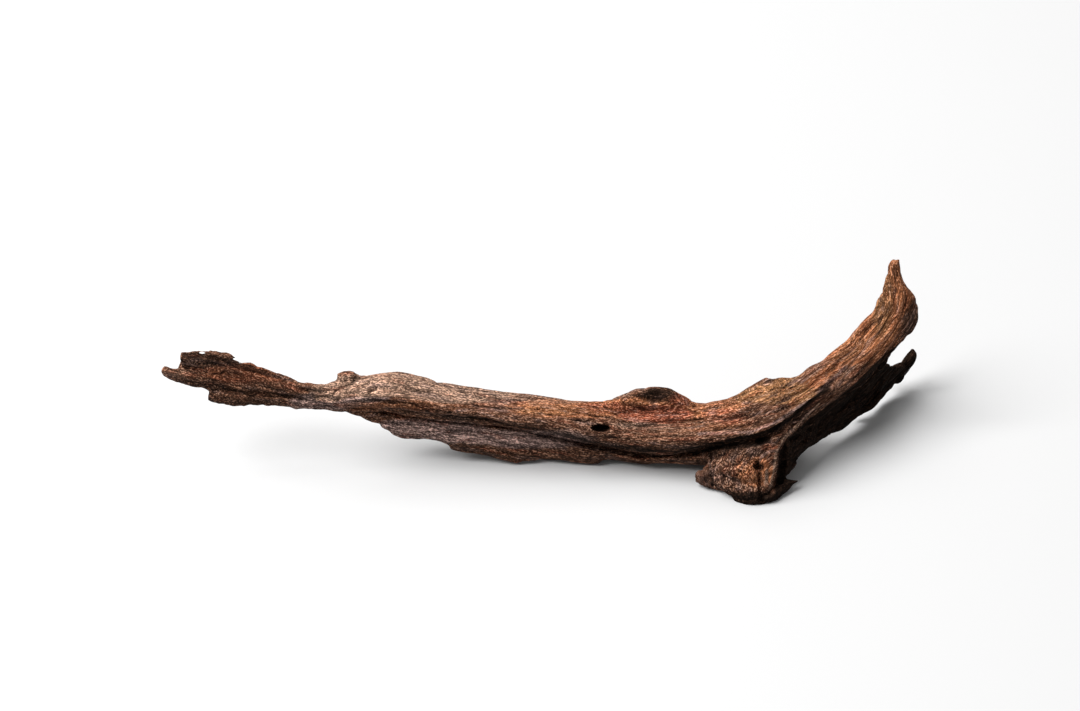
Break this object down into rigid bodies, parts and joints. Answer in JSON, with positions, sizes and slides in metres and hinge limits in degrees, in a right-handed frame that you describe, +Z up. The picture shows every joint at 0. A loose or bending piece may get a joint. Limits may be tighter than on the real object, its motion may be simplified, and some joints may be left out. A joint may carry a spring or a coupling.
{
  "type": "piece of driftwood",
  "caption": "Weathered piece of driftwood: a long tapering branch with a raised horn, a broken root foot, a torn keel below, a worn knot and a bore hole.",
  "frame": {"origin": "on the surface that the wood lies on, under the middle of its bounding box", "axes": "+X along the wood, from the thin torn end to the horn; +Z up; -Y towards the side that carries the broken root foot"},
  "size_m": [0.455, 0.1208, 0.1014],
  "materials": {
    "weathered_wood": "dry, rough and fibrous, dark brown with orange-brown and grey streaks"
  },
  "bodies": {
    "root": {"driftwood": "weathered_wood"}
  },
  "joints": []
}
